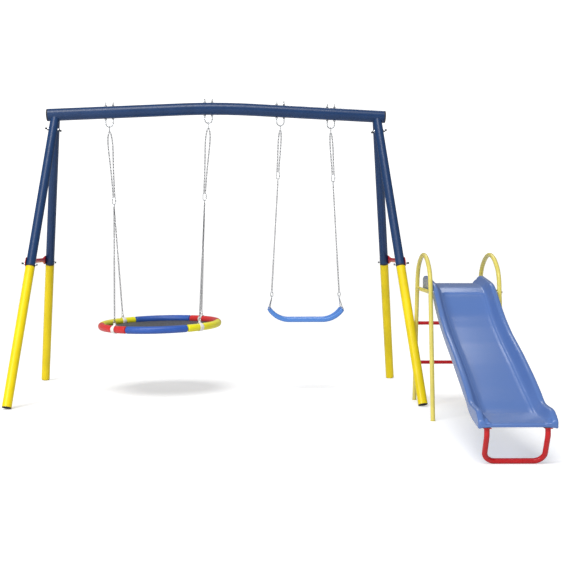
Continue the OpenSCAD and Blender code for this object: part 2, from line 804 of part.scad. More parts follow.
// Threaded sleeves set into the chute's side walls
module chute_inserts() {
    color("goldenrod") at_chute_bolts() translate([0, 0, insert_x + 0.1]) washer(6.2, 10, insert_len);
}

module chute_spacers() {
    color(black) at_chute_bolts() translate([0, 0, chute_w / 2 + 0.1])
        washer(6.4, 15, (hoop_gap - hoop_d - chute_w) / 2 - 0.2);
}

module chute_bolts() {
    color(zinc) at_chute_bolts() {
        translate([0, 0, insert_x + 2]) cylinder(h = hoop_gap / 2 + hoop_d / 2 - insert_x - 2, d = 6);
        translate([0, 0, (hoop_gap + hoop_d) / 2]) cylinder(h = 4, d = 10 / cos(30), $fn = 6);
    }
}

// U-shaped bar under the lip of the chute, leaning forwards from the ground and then bent upright
module slide_foot_bar() {
    r = hoop_d / 2;
    straight = foot_bar_half - foot_bar_bend;
    color(red) at_slide() translate([0, foot_bar_y, r]) {
        rotate([90 + foot_bar_lean, 0, 0]) {
            rod([-straight - 2, 0, 0], [straight + 2, 0, 0], r);
            for (s = [0, 1]) mirror([s, 0, 0]) {
                translate([straight, foot_bar_bend, 0]) bent_rod(foot_bar_bend, -90, 0, r + hair);
                rod([foot_bar_half, foot_bar_bend - 2, 0], [foot_bar_half, foot_bar_arm + 2, 0], r);
            }
        }
        for (s = [-1, 1]) translate([s * foot_bar_half, -foot_bar_arm * sin(foot_bar_lean), foot_bar_arm * cos(foot_bar_lean)])
            rotate([0, -90, 0]) rotate([0, 0, -foot_bar_lean]) translate([0, stub_bend, 0])
                bent_rod(stub_bend, -90, -90 + foot_bar_lean, r + hair);
        for (s = [-1, 1]) translate([s * foot_bar_half, stub_y() - foot_bar_y, 0])
            rod([0, 0, foot_bar_arm * cos(foot_bar_lean) + stub_bend * sin(foot_bar_lean) - 2], [0, 0, foot_bar_top - r], r);
    }
}

// Place along Y of the upright ends of the foot bar
function stub_y() = foot_bar_y - foot_bar_arm * sin(foot_bar_lean) - stub_bend * (1 - cos(foot_bar_lean));

module foot_bar_plates() {
    color(red) at_slide() for (s = [-1, 1]) difference() {
        translate([s * foot_bar_half - 18, stub_y() - 20, foot_bar_top]) cube([36, 40, plate_t]);
        for (e = [-1, 1]) translate([s * foot_bar_half, stub_y() + e * 16, foot_bar_top - 1]) cylinder(h = 10, d = 4.4);
    }
}

// ---- The nodes that share a shape ----
module upper_leg_front_left() {
    upper_leg_at(-1, -1);
}

module upper_leg_front_right() {
    upper_leg_at(1, -1);
}

module upper_leg_rear_left() {
    upper_leg_at(-1, 1);
}

module upper_leg_rear_right() {
    upper_leg_at(1, 1);
}

module lower_leg_front_left() {
    lower_leg_at(-1, -1);
}

module lower_leg_front_right() {
    lower_leg_at(1, -1);
}

module lower_leg_rear_left() {
    lower_leg_at(-1, 1);
}

module lower_leg_rear_right() {
    lower_leg_at(1, 1);
}

module cross_brace_left() {
    cross_brace_at(-1);
}

module cross_brace_right() {
    cross_brace_at(1);
}

module saucer_pad_front() {
    pad_at(-90, "#2f62c8");
}

module saucer_pad_front_right() {
    pad_at(-30, leg_yellow);
}

module saucer_pad_rear_right() {
    pad_at(30, red);
}

module saucer_pad_rear() {
    pad_at(90, "#2f62c8");
}

module saucer_pad_rear_left() {
    pad_at(150, leg_yellow);
}

module saucer_pad_front_left() {
    pad_at(210, red);
}

module slide_hoop_left() {
    slide_hoop_at(-1);
}

module slide_hoop_right() {
    slide_hoop_at(1);
}

module ladder_rung_upper() {
    ladder_rung_at(rungs_h[0]);
}

module ladder_rung_lower() {
    ladder_rung_at(rungs_h[1]);
}

module slide_side_bar_left() {
    slide_side_bar_at(-1);
}

module slide_side_bar_right() {
    slide_side_bar_at(1);
}

top_beam();
beam_end_caps();
upper_leg_front_left();
upper_leg_front_right();
upper_leg_rear_left();
upper_leg_rear_right();
lower_leg_front_left();
lower_leg_front_right();
lower_leg_rear_left();
lower_leg_rear_right();
leg_collars();
leg_foot_caps();
cross_brace_left();
cross_brace_right();
leg_bolts();
leg_nuts();
leg_washers();
bolt_end_caps();
saucer_u_bolts();
seat_u_bolts();
u_bolt_nuts();
saucer_top_links();
saucer_upper_chains();
saucer_snap_hooks();
saucer_rings();
saucer_lower_chains();
strap_rings();
saucer_straps();
saucer_ring_tube();
saucer_pad_front();
saucer_pad_front_right();
saucer_pad_rear_right();
saucer_pad_rear();
saucer_pad_rear_left();
saucer_pad_front_left();
saucer_mat();
seat_top_links();
seat_upper_chains();
seat_snap_hooks();
seat_rings();
seat_long_chains();
seat_lower_links();
seat_triangles();
swing_seat();
slide_hoop_left();
slide_hoop_right();
ladder_rung_upper();
ladder_rung_lower();
slide_side_bar_left();
slide_side_bar_right();
rung_screws();
slide_chute();
chute_bolts();
chute_inserts();
chute_spacers();
slide_foot_bar();
foot_bar_plates();
slide_foot_caps();
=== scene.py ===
"""Looks for a garden swing set: tube frame, padded saucer, curled seat on chains and a low slide."""

import logging
import math
from collections.abc import Callable, Iterator, Sequence
from contextlib import contextmanager
from dataclasses import dataclass, field
from enum import Enum

import bmesh
import bpy
from mathutils import Matrix, Vector


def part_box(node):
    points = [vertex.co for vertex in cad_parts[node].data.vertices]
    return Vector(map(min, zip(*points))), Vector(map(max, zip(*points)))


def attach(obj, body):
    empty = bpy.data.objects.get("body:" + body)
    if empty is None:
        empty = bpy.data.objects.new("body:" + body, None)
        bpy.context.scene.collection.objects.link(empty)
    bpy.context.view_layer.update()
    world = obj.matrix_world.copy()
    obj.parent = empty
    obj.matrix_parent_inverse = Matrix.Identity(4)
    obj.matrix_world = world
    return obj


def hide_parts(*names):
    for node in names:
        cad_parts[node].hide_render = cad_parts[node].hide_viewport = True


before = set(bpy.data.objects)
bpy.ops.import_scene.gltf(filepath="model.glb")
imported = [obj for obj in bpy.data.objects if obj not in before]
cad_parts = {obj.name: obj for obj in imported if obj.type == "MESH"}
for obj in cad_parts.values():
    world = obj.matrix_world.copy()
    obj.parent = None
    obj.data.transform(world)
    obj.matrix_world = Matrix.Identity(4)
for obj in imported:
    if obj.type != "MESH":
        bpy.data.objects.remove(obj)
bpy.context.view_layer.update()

log = logging.getLogger("swing_set")
MM = 0.001
Colour = tuple[float, float, float]


# ---- Modelling helpers ----
def clear_selection() -> None:
    """Deselects every object, so that the next operator acts on nothing by mistake."""
    bpy.ops.object.select_all(action="DESELECT")


def make_active(piece: bpy.types.Object) -> None:
    """Selects only one piece and makes it the active one.

    Args:
        piece: The object that the next operators act on.
    """
    clear_selection()
    piece.select_set(True)
    bpy.context.view_layer.objects.active = piece


@contextmanager
def editing(piece: bpy.types.Object, mode: str = "VERT") -> Iterator[None]:
    """Opens a piece in edit mode with nothing selected, and closes it again.

    Args:
        piece: The mesh object to edit.
        mode: What is selected inside: VERT, EDGE or FACE.
    """
    make_active(piece)
    bpy.ops.object.mode_set(mode="EDIT")
    bpy.ops.mesh.select_mode(type=mode)
    bpy.ops.mesh.select_all(action="DESELECT")
    try:
        yield
    finally:
        bpy.ops.object.mode_set(mode="OBJECT")


def pick(piece: bpy.types.Object, test: Callable[[Vector], bool], kind: str = "verts") -> int:
    """Selects the vertices, edges or faces of a piece in edit mode whose middle passes a test.

    Args:
        piece: The mesh object that is open in edit mode.
        test: Says whether a middle point belongs to the selection.
        kind: verts, edges or faces.

    Returns:
        How many were selected.
    """
    mesh = bmesh.from_edit_mesh(piece.data)
    chosen = 0
    for element in getattr(mesh, kind):
        if kind == "verts":
            middle = element.co
        elif kind == "edges":
            middle = (element.verts[0].co + element.verts[1].co) / 2
        else:
            middle = element.calc_center_median()
        element.select_set(bool(test(middle)))
        chosen += element.select
    mesh.select_flush_mode()
    bmesh.update_edit_mesh(piece.data)
    return chosen


def reshape(piece: bpy.types.Object, move: Callable[[Vector], Vector]) -> None:
    """Moves every vertex of a finished mesh.

    Args:
        piece: The mesh object, not in edit mode.
        move: Gives a vertex's new place from its old one.
    """
    for vertex in piece.data.vertices:
        vertex.co = move(vertex.co)
    piece.data.update()


def apply_modifier(piece: bpy.types.Object, kind: str, **settings: object) -> None:
    """Adds one modifier, gives it its settings and applies it.

    Args:
        piece: The mesh object that is finished.
        kind: The modifier's type.
        settings: Values for the modifier's own properties.
    """
    make_active(piece)
    modifier = piece.modifiers.new(kind.title(), kind)
    for name, value in settings.items():
        setattr(modifier, name, value)
    if kind == "SUBSURF":
        modifier.render_levels = modifier.levels
    bpy.ops.object.modifier_apply(modifier=modifier.name)


def clean(piece: bpy.types.Object, merge: float = 0.00002) -> None:
    """Merges doubled vertices and turns every face outwards.

    Args:
        piece: The mesh object.
        merge: The distance in metres within which vertices become one.
    """
    with editing(piece):
        bpy.ops.mesh.select_all(action="SELECT")
        bpy.ops.mesh.remove_doubles(threshold=merge)
        bpy.ops.mesh.normals_make_consistent(inside=False)


def settle(piece: bpy.types.Object, smooth: float = 40) -> None:
    """Puts a piece's place into its mesh and shades it smooth.

    Args:
        piece: The mesh object.
        smooth: The largest angle between faces, in degrees, that is shaded smooth.
    """
    make_active(piece)
    bpy.ops.object.transform_apply(location=True, rotation=True, scale=True)
    bpy.ops.object.shade_smooth_by_angle(angle=math.radians(smooth))


def join(parts: Sequence[bpy.types.Object], name: str) -> bpy.types.Object:
    """Joins several mesh objects into one.

    Args:
        parts: The mesh objects.
        name: The new piece's name.

    Returns:
        The joined piece.
    """
    clear_selection()
    for part in parts:
        part.select_set(True)
    bpy.context.view_layer.objects.active = parts[0]
    if len(parts) > 1:
        bpy.ops.object.join()
    parts[0].name = name
    return parts[0]


def copy_of(piece: bpy.types.Object, place: Matrix) -> bpy.types.Object:
    """Makes a copy of a piece, with a mesh of its own.

    Args:
        piece: The pattern.
        place: The copy's place in the world.

    Returns:
        The copy.
    """
    twin = piece.copy()
    twin.data = piece.data.copy()
    twin.matrix_world = place
    bpy.context.scene.collection.objects.link(twin)
    return twin


def discard(piece: bpy.types.Object) -> None:
    """Removes a piece that was only a pattern for others."""
    bpy.data.objects.remove(piece)


def sweep(sections: Sequence[Sequence[Vector]]) -> bpy.types.Object:
    """Extrudes a ring through a row of cross-sections and closes both ends.

    Args:
        sections: The cross-sections in order, each with the same number of points.

    Returns:
        The closed piece.
    """
    sides, step = len(sections[0]), 10 * MM
    clear_selection()
    bpy.ops.mesh.primitive_circle_add(vertices=sides, radius=0.1, fill_type="NGON")
    piece = bpy.context.object
    with editing(piece, "FACE"):
        bpy.ops.mesh.select_all(action="SELECT")
        for _ in sections[1:]:
            bpy.ops.mesh.extrude_region_move(TRANSFORM_OT_translate={"value": (0, 0, step)})
        bpy.ops.mesh.select_all(action="DESELECT")
        bpy.ops.mesh.select_face_by_sides(number=4, type="GREATER")
        bpy.ops.mesh.quads_convert_to_tris(ngon_method="BEAUTY")

    def place(co: Vector) -> Vector:
        """Gives a point of the plain rod its place in its own section."""
        index = round(math.atan2(co.y, co.x) * sides / math.tau) % sides
        return sections[round(co.z / step)][index]

    reshape(piece, place)
    clean(piece)
    return piece


# ---- Finishes ----
class Nodes:
    """Builds the node tree of one material in plain steps."""

    def __init__(self, name: str) -> None:
        """Starts a material with a Principled surface.

        Args:
            name: The material's name.
        """
        self.material = bpy.data.materials.new(name)
        self.material.use_nodes = True
        self.tree = self.material.node_tree
        self.shader = self.tree.nodes["Principled BSDF"]
        self.where = self.tree.nodes.new("ShaderNodeTexCoord")

    def add(self, kind: str, **values: object) -> bpy.types.Node:
        """Adds a node and sets its properties or, where it has none of that name, its sockets.

        Args:
            kind: The node's type without its Shader prefix.
            values: Property or input values, with spaces written as underscores.

        Returns:
            The new node.
        """
        node = self.tree.nodes.new("ShaderNode" + kind)
        for key, value in values.items():
            if hasattr(node, key):
                setattr(node, key, value)
            else:
                node.inputs[key.replace("_", " ")].default_value = value
        return node

    def link(self, source: bpy.types.NodeSocket, target: bpy.types.NodeSocket) -> None:
        """Joins an output socket to an input socket."""
        self.tree.links.new(source, target)

    def place(self, scale: Sequence[float] = (1, 1, 1)) -> bpy.types.NodeSocket:
        """Gives the surface's own coordinates, stretched by a scale.

        Args:
            scale: The stretch along X, Y and Z.

        Returns:
            The coordinates.
        """
        mapping = self.add("Mapping")
        mapping.inputs["Scale"].default_value = scale
        self.link(self.where.outputs["Object"], mapping.inputs["Vector"])
        return mapping.outputs["Vector"]

    def noise(
        self, scale: float, detail: float = 3, stretch: Sequence[float] = (1, 1, 1)
    ) -> bpy.types.NodeSocket:
        """Adds a cloudy pattern.

        Args:
            scale: Its waves to the metre.
            detail: Its octaves.
            stretch: A stretch along X, Y and Z.

        Returns:
            The pattern's value.
        """
        node = self.add("TexNoise", Scale=scale, Detail=detail)
        self.link(self.place(scale=stretch), node.inputs["Vector"])
        return node.outputs["Fac"]

    def ramp(
        self, value: bpy.types.NodeSocket, low: tuple[float, Colour], high: tuple[float, Colour]
    ) -> bpy.types.NodeSocket:
        """Turns a value into a colour between two stops.

        Args:
            value: The value that chooses the colour.
            low: Where the first colour ends, and that colour.
            high: Where the second colour starts, and that colour.

        Returns:
            The colour.
        """
        node = self.add("ValToRGB")
        for stop, (at, colour) in zip(node.color_ramp.elements, (low, high)):
            stop.position, stop.color = at, (*colour, 1)
        self.link(value, node.inputs["Fac"])
        return node.outputs["Color"]

    def spread(self, value: bpy.types.NodeSocket, low: float, high: float) -> bpy.types.NodeSocket:
        """Maps a value from the middle of its range to a span.

        Args:
            value: The value to map.
            low: The lower end of the span.
            high: The upper end of the span.

        Returns:
            The mapped value.
        """
        node = self.add("MapRange")
        for name, amount in (("From Min", 0.3), ("From Max", 0.7), ("To Min", low), ("To Max", high)):
            node.inputs[name].default_value = amount
        self.link(value, node.inputs["Value"])
        return node.outputs["Result"]

    def weave(self, operation: str, *threads: tuple[str, float, float]) -> bpy.types.NodeSocket:
        """Crosses two sets of threads.

        Args:
            operation: How the heights of the two sets are combined.
            threads: The direction, the scale and the waver of each set.

        Returns:
            The height of the cloth.
        """
        both = self.add("Math", operation=operation)
        for number, (direction, scale, waver) in enumerate(threads):
            wave = self.add("TexWave", bands_direction=direction, Scale=scale, Distortion=waver)
            self.link(self.place(), wave.inputs["Vector"])
            self.link(wave.outputs["Fac"], both.inputs[number])
        return both.outputs["Value"]

    def bump(self, *layers: tuple[bpy.types.NodeSocket, float]) -> None:
        """Raises the surface by several patterns.

        Args:
            layers: Each pattern with its height in metres.
        """
        normal = None
        for height, depth in layers:
            node = self.add("Bump", Strength=1.0, Distance=depth)
            self.link(height, node.inputs["Height"])
            if normal is not None:
                self.link(normal, node.inputs["Normal"])
            normal = node.outputs["Normal"]
        self.link(normal, self.shader.inputs["Normal"])

    def fix(self, **values: object) -> None:
        """Sets constants on the shader's own sockets."""
        for key, value in values.items():
            self.shader.inputs[key.replace("_", " ")].default_value = value


def shade(colour: Colour, amount: float) -> Colour:
    """Makes a colour lighter or darker by a factor."""
    return tuple(min(1.0, channel * amount) for channel in colour)


@dataclass(frozen=True)
class PowderCoat:
    """Smooth paint baked on a steel tube, with the faint ripple that powder leaves."""

    name: str
    colour: Colour
    gloss: float = 0.32
    scuffs: float = 0.92

    def build(self) -> bpy.types.Material:
        """Makes the material."""
        n = Nodes(self.name)
        cloud = n.noise(9, 4)
        n.link(n.ramp(cloud, (0.35, shade(self.colour, self.scuffs)), (0.65, shade(self.colour, 1.04))),
               n.shader.inputs["Base Color"])
        n.link(n.spread(n.noise(60, 5), self.gloss - 0.05, self.gloss + 0.09), n.shader.inputs["Roughness"])
        n.bump((n.noise(900, 2), 0.00006), (n.noise(45, 3), 0.00025))
        n.fix(Coat_Weight=0.12, Coat_Roughness=0.16, Specular_IOR_Level=0.35)
        return n.material


@dataclass(frozen=True)
class ZincPlate:
    """Bright zinc on steel hardware, with a fine grain and duller patches."""

    name: str
    colour: Colour = (0.62, 0.64, 0.66)
    dullness: float = 0.3

    def build(self) -> bpy.types.Material:
        """Makes the material."""
        n = Nodes(self.name)
        cloud = n.noise(120, 4)
        n.link(n.ramp(cloud, (0.35, shade(self.colour, 0.82)), (0.65, shade(self.colour, 1.12))),
               n.shader.inputs["Base Color"])
        n.link(n.spread(n.noise(260, 4), self.dullness - 0.08, self.dullness + 0.14),
               n.shader.inputs["Roughness"])
        n.bump((n.noise(1400, 3), 0.00005))
        n.fix(Metallic=1.0)
        return n.material


@dataclass(frozen=True)
class MouldedPlastic:
    """Moulded polythene with a fine skin, soft flow marks and light scuffs."""

    name: str
    colour: Colour
    gloss: float = 0.35
    grain: float = 0.00005
    waves: float = 0.0006
    scuffs: float = 0.93

    def build(self) -> bpy.types.Material:
        """Makes the material."""
        n = Nodes(self.name)
        flow = n.noise(6, 5, (1, 0.5, 1))
        n.link(n.ramp(flow, (0.3, shade(self.colour, self.scuffs)), (0.7, shade(self.colour, 1.06))),
               n.shader.inputs["Base Color"])
        n.link(n.spread(n.noise(38, 6), self.gloss - 0.07, self.gloss + 0.1), n.shader.inputs["Roughness"])
        n.bump((n.noise(1100, 2), self.grain), (n.noise(5, 2), self.waves))
        n.fix(Coat_Weight=0.06, Coat_Roughness=0.25, Specular_IOR_Level=0.24)
        return n.material


@dataclass(frozen=True)
class CoatedCloth:
    """Woven cloth with a shiny coating, as on a padded sleeve."""

    name: str
    colour: Colour
    threads: float = 700
    gloss: float = 0.42

    def build(self) -> bpy.types.Material:
        """Makes the material."""
        n = Nodes(self.name)
        cloud = n.noise(14, 4)
        n.link(n.ramp(cloud, (0.3, shade(self.colour, 0.9)), (0.7, shade(self.colour, 1.06))),
               n.shader.inputs["Base Color"])
        weave = n.weave("MAXIMUM", ("DIAGONAL", self.threads / 8, 0.4), ("Z", self.threads / 6, 0.4))
        n.link(n.spread(n.noise(70, 4), self.gloss - 0.06, self.gloss + 0.12), n.shader.inputs["Roughness"])
        n.bump((weave, 0.00012), (n.noise(55, 4), 0.0006))
        n.fix(Sheen_Weight=0.15, Sheen_Roughness=0.5, Coat_Weight=0.12, Coat_Roughness=0.3)
        return n.material


@dataclass(frozen=True)
class Webbing:
    """Flat woven tape, read along its own length."""

    name: str
    colour: Colour = (0.88, 0.88, 0.86)

    def build(self) -> bpy.types.Material:
        """Makes the material."""
        n = Nodes(self.name)
        weave = n.weave("MULTIPLY", ("Z", 160, 0.6), ("DIAGONAL", 130, 0.3))
        n.link(n.ramp(weave, (0.1, shade(self.colour, 0.86)), (0.6, self.colour)),
               n.shader.inputs["Base Color"])
        n.link(n.spread(n.noise(90, 3), 0.62, 0.78), n.shader.inputs["Roughness"])
        n.bump((weave, 0.0002))
        n.fix(Sheen_Weight=0.3, Sheen_Roughness=0.6)
        return n.material


@dataclass(frozen=True)
class MatWeave:
    """Tight dark net of the saucer's floor, woven square."""

    name: str
    colour: Colour
    pitch: float = 0.004

    def build(self) -> bpy.types.Material:
        """Makes the material."""
        n = Nodes(self.name)
        scale = 0.314 / self.pitch
        net = n.weave("MAXIMUM", ("X", scale, 0), ("Y", scale, 0))
        dark, light = shade(self.colour, 0.35), shade(self.colour, 1.2)
        n.link(n.ramp(net, (0.35, dark), (0.85, light)), n.shader.inputs["Base Color"])
        n.link(n.spread(n.noise(40, 3), 0.5, 0.68), n.shader.inputs["Roughness"])
        n.bump((net, 0.0004), (n.noise(8, 3), 0.0015))
        n.fix(Sheen_Weight=0.2, Sheen_Roughness=0.5)
        return n.material


class Finish(Enum):
    """Every finish on the set."""

    NAVY = PowderCoat("navy_paint", (0.012, 0.046, 0.142), 0.34)
    YELLOW = PowderCoat("yellow_paint", (0.96, 0.74, 0.004), 0.36)
    PALE_YELLOW = PowderCoat("pale_yellow_paint", (0.84, 0.72, 0.16), 0.34)
    RED = PowderCoat("red_paint", (0.62, 0.012, 0.016), 0.3)
    ZINC = ZincPlate("zinc_plate")
    CHAIN = ZincPlate("chain_plate", (0.42, 0.43, 0.45), 0.36)
    BLACK = MouldedPlastic("black_plastic", (0.012, 0.012, 0.014), 0.45)
    CHUTE = MouldedPlastic("chute_plastic", (0.004, 0.024, 0.14), 0.3, 0.00002, 0.0006)
    SEAT = MouldedPlastic("seat_plastic", (0.007, 0.045, 0.24), 0.26, 0.00002, 0.0004)
    PAD_BLUE = CoatedCloth("blue_cloth", (0.02, 0.10, 0.46))
    PAD_YELLOW = CoatedCloth("yellow_cloth", (1.0, 0.9, 0.0))
    PAD_RED = CoatedCloth("red_cloth", (0.72, 0.02, 0.022))
    STRAP = Webbing("white_webbing")
    MAT = MatWeave("dark_net", (0.012, 0.017, 0.03))

    def material(self) -> bpy.types.Material:
        """Gives the finish's material, made the first time that it is asked for."""
        return bpy.data.materials.get(self.value.name) or self.value.build()


def dress(piece: bpy.types.Object, finish: Finish) -> None:
    """Puts one finish on the whole of a piece."""
    piece.data.materials.clear()
    piece.data.materials.append(finish.material())


def place_piece(
    piece: bpy.types.Object, name: str, body: str, finish: Finish, replaces: Sequence[str] = ()
) -> bpy.types.Object:
    """Names and dresses a finished piece and fixes it to the body that it moves with.

    Args:
        piece: The finished mesh object.
        name: The piece's name.
        body: The CAD body that it rides on.
        finish: What it is covered with.
        replaces: The CAD nodes that it stands for.

    Returns:
        The same piece.
    """
    piece.name = piece.data.name = name
    dress(piece, finish)
    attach(piece, body)
    if replaces:
        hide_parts(*replaces)
    log.info("%s: %d faces, on %s", name, len(piece.data.polygons), body)
    return piece


# ---- Parts that keep their CAD shape ----
@dataclass
class CadParts:
    """The steel and moulded parts that need only a finish."""

    finishes: dict[str, Finish] = field(default_factory=lambda: {
        "top_beam": Finish.NAVY, "upper_leg": Finish.NAVY, "lower_leg": Finish.YELLOW,
        "cross_brace": Finish.RED, "ladder_rung": Finish.RED, "slide_foot_bar": Finish.RED,
        "foot_bar_plates": Finish.RED, "slide_hoop": Finish.PALE_YELLOW, "slide_side_bar": Finish.PALE_YELLOW,
        "slide_foot_caps": Finish.PALE_YELLOW, "beam_end_caps": Finish.BLACK, "bolt_end_caps": Finish.BLACK,
        "leg_foot_caps": Finish.BLACK, "leg_collars": Finish.BLACK, "slide_chute": Finish.CHUTE,
        "swing_seat": Finish.SEAT,
    })

    def build(self) -> None:
        """Gives each CAD node its finish, zinc where none is named."""
        for name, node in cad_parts.items():
            finish = next((f for start, f in self.finishes.items() if name.startswith(start)), Finish.ZINC)
            dress(node, finish)
            log.info("%s: %s", name, finish.name)


# ---- Reading the frame ----
def solids_of(node: str) -> list[list[Vector]]:
    """Splits a CAD node into its separate solids.

    Args:
        node: The CAD node's name.

    Returns:
        The corner points of each solid, left to right and then front to back.
    """
    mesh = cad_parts[node].data
    keys = [tuple(round(c * 20000) for c in vertex.co) for vertex in mesh.vertices]
    parent = {key: key for key in keys}

    def root(key: tuple[int, ...]) -> tuple[int, ...]:
        """Finds the key that stands for a whole solid."""
        while parent[key] != key:
            parent[key] = parent[parent[key]]
            key = parent[key]
        return key

    for polygon in mesh.polygons:
        first = root(keys[polygon.vertices[0]])
        for index in polygon.vertices[1:]:
            parent[root(keys[index])] = first
    groups: dict[tuple[int, ...], dict[tuple[int, ...], Vector]] = {}
    for key, vertex in zip(keys, mesh.vertices):
        groups.setdefault(root(key), {})[key] = vertex.co.copy()
    found = [list(group.values()) for group in groups.values()]
    return sorted(found, key=lambda pts: tuple(round(c, 3) for c in middle_of(pts)))


def middle_of(points: Sequence[Vector]) -> Vector:
    """Gives the mean of some points."""
    return sum(points, Vector()) / len(points)


def end_of(points: Sequence[Vector], direction: Sequence[float], reach: float = 0.004) -> Vector:
    """Gives the middle of the end face of a rod.

    Args:
        points: The rod's corner points.
        direction: Which way the end faces.
        reach: How deep from the tip a point still counts as the end's.

    Returns:
        The middle of the end.
    """
    way = Vector(direction).normalized()
    far = max(p.dot(way) for p in points)
    return middle_of([p for p in points if p.dot(way) > far - reach])


# ---- Chains ----
@dataclass
class Chain:
    """Steel chain of oval links, each turned a quarter from the last."""

    wire: float = 3.5 * MM
    width: float = 12.5 * MM
    pitch: float = 19.0 * MM

    def link(self) -> bpy.types.Object:
        """Models one oval link, long along Z."""
        clear_selection()
        bpy.ops.mesh.primitive_torus_add(
            major_segments=12, minor_segments=6, major_radius=(self.width - self.wire) / 2,
            minor_radius=self.wire / 2, rotation=(math.radians(90), 0, 0))
        link = bpy.context.object
        bpy.ops.object.transform_apply(rotation=True)
        stretch = (self.pitch + 2 * self.wire - self.width) / 2
        with editing(link):
            for side in (-1, 1):
                pick(link, lambda co, side=side: side * co.z > 0.1 * MM)
                bpy.ops.transform.translate(value=(0, 0, side * stretch))
        return link

    def hang(self, line: Sequence[Vector], pattern: bpy.types.Object) -> list[bpy.types.Object]:
        """Lays links along a line of points.

        Args:
            line: The points that the middle of the chain follows.
            pattern: The link to copy.

        Returns:
            The links, not yet joined.
        """
        lengths = [(b - a).length for a, b in zip(line, line[1:])]
        total = sum(lengths)
        count = max(2, round(total / self.pitch))
        links = []
        for number in range(count):
            along = (number + 0.5) * total / count
            index = 0
            while along > lengths[index] and index < len(lengths) - 1:
                along -= lengths[index]
                index += 1
            start, way = line[index], (line[index + 1] - line[index]).normalized()
            turn = way.to_track_quat("Z", "Y").to_matrix().to_4x4()
            roll = Matrix.Rotation(math.radians(45 + 90 * (number % 2)), 4, "Z")
            links.append(copy_of(pattern, Matrix.Translation(start + way * along) @ turn @ roll))
        return links


@dataclass
class Hangers:
    """All the chains of both swings."""

    chain: Chain = field(default_factory=Chain)
    saucer_bow: float = 11 * MM
    saucer_bow_at: float = 0.2
    seat_bow: float = 5 * MM
    seat_bow_at: float = 0.3
    steps: int = 24

    def doubled(self, node: str, bow: float, bow_at: float) -> list[list[Vector]]:
        """Gives the lines of a doubled chain whose two halves bow apart.

        Args:
            node: The CAD node with its straight strands.
            bow: How far each half stands out at its widest.
            bow_at: Where it is widest, as a share of its length from the top.

        Returns:
            One line of points for each strand.
        """
        lines = []
        strands = solids_of(node)
        for number, strand in enumerate(strands):
            top, bottom = end_of(strand, (0, 0, 1)), end_of(strand, (0, 0, -1))
            out = -1 if number % 2 == 0 else 1
            line = []
            for step in range(self.steps + 1):
                share = step / self.steps
                swell = share / bow_at * math.exp(1 - share / bow_at)
                line.append(top.lerp(bottom, share) + Vector((out * bow * swell, 0, 0)))
            lines.append(line)
        return lines

    def spread(self, node: str) -> list[list[Vector]]:
        """Gives the lines of the chains that run from one ring to two straps.

        Args:
            node: The CAD node with its straight strands.

        Returns:
            A top and a bottom point for each chain.
        """
        lines = []
        for pair in solids_of(node):
            middle = (max(p.y for p in pair) + min(p.y for p in pair)) / 2
            for side in (-1, 1):
                half = [p for p in pair if side * (p.y - middle) > 0]
                top = end_of(half, (0, -side * 0.3, 1), 6 * MM)
                lines.append([top, end_of(half, (0, side * 0.3, -1))])
        return lines

    def build(self) -> None:
        """Makes one piece for each set of strands."""
        pattern = self.chain.link()
        straight = [[end_of(s, (0, 0, 1)), end_of(s, (0, 0, -1))] for s in solids_of("seat_long_chains")]
        sets = {
            "saucer_upper_chains": ("saucer_hangers", self.doubled(
                "saucer_upper_chains", self.saucer_bow, self.saucer_bow_at)),
            "saucer_lower_chains": ("saucer", self.spread("saucer_lower_chains")),
            "seat_upper_chains": ("seat_hangers", self.doubled(
                "seat_upper_chains", self.seat_bow, self.seat_bow_at)),
            "seat_long_chains": ("seat_hangers", straight),
        }
        for node, (body, lines) in sets.items():
            links = [link for line in lines for link in self.chain.hang(line, pattern)]
            piece = join(links, node + "_links")
            settle(piece, 60)
            place_piece(piece, node + "_links", body, Finish.CHAIN, [node])
        discard(pattern)


# ---- Saucer ----
class PadColour(Enum):
    """The three colours of the saucer's sleeves, each with a slot name."""

    BLUE = (Finish.PAD_BLUE, "blue_fabric")
    YELLOW = (Finish.PAD_YELLOW, "yellow_fabric")
    RED = (Finish.PAD_RED, "red_fabric")


